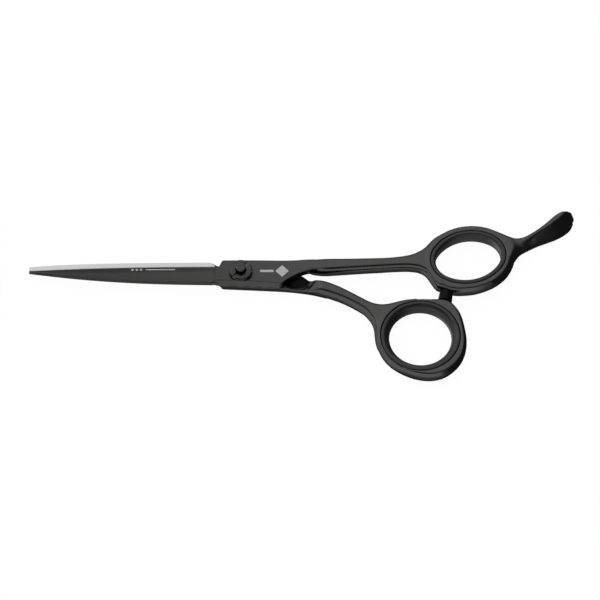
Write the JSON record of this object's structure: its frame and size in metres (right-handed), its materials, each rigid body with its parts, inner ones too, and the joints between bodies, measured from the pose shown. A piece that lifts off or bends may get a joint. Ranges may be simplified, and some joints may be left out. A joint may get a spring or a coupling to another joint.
{
  "type": "hair cutting shears",
  "caption": "Hair cutting shears with an offset handle, finger rest, rubber ring inserts and a slotted pivot nut.",
  "frame": {"origin": "on the pivot axis, midway between the two halves' riding faces", "axes": "+X from the pivot to the handles, +Y from the thumb ring to the finger ring, +Z through the finger half to the tension nut; the shears are closed at rest"},
  "size_m": [0.1711, 0.0593, 0.0079],
  "materials": {
    "black_coat": "satin black coated steel",
    "bolt_coat": "satin black coated steel",
    "nut_coat": "satin black coated steel",
    "spring_steel": "ground",
    "bush_bronze": "machined bronze",
    "nylon": "natural nylon",
    "ring_rubber": "soft black rubber",
    "bumper_rubber": "firm black rubber"
  },
  "bodies": {
    "finger_side": {"finger_half": "black_coat", "pivot_bush": "bush_bronze", "finger_ring_insert": "ring_rubber", "disc_spring": "spring_steel"},
    "thumb_side": {"thumb_half": "black_coat", "pivot_bolt": "bolt_coat", "glide_washer": "nylon", "thumb_ring_insert": "ring_rubber", "bumper_stud": "spring_steel", "bumper_cap": "bumper_rubber"},
    "thrust_ring": {"thrust_washer": "spring_steel"},
    "nut": {"tension_nut": "nut_coat", "nut_lock_ring": "nylon"}
  },
  "joints": [
    {"name": "shears_open", "type": "hinge", "parent": "finger_side", "child": "thumb_side", "pos_m": [0, 0, 0], "axis": [0, 0, -1], "range_deg": [0, 110]},
    {"name": "tension_lift", "type": "slide", "parent": "thumb_side", "child": "thrust_ring", "axis": [0, 0, 1], "range_m": [-0.000125, 0.00025], "deforming": ["disc_spring"]},
    {"name": "nut_turn", "type": "hinge", "parent": "thrust_ring", "child": "nut", "pos_m": [0, 0, 0], "axis": [0, 0, 1], "range_deg": [-90, 180]}
  ],
  "couplings": [
    {"joint": "nut_turn", "follows": "tension_lift", "rad_per_m": 12566}
  ]
}
